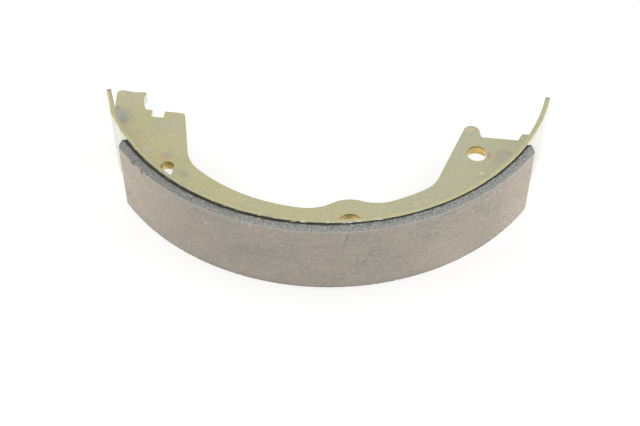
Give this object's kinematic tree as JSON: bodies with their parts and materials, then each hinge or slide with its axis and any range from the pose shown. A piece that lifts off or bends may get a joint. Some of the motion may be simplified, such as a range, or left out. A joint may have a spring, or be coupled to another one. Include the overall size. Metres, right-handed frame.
{
  "type": "brake shoe",
  "caption": "Bonded drum-brake shoe: a stamped crescent web with shaped ends, welded inside a curved table that carries a ground friction lining with bevelled ends.",
  "frame": {"origin": "on the brake drum's axis, halfway across the shoe's width", "axes": "+Z along the drum's axis, upwards as the shoe lies; -Y from the axis through the hold-down hole, so the shoe is an arc on the -Y side; +X from the lever end towards the adjuster end"},
  "size_m": [0.1702, 0.0965, 0.03],
  "materials": {
    "zinc_plate": "yellow-green passivated zinc plate, satin",
    "bond_line": "cured dark adhesive",
    "friction_material": "ground friction compound, matte"
  },
  "bodies": {
    "root": {"shoe_web": "zinc_plate", "shoe_table": "zinc_plate", "bond_layer": "bond_line", "friction_lining": "friction_material"}
  },
  "joints": []
}
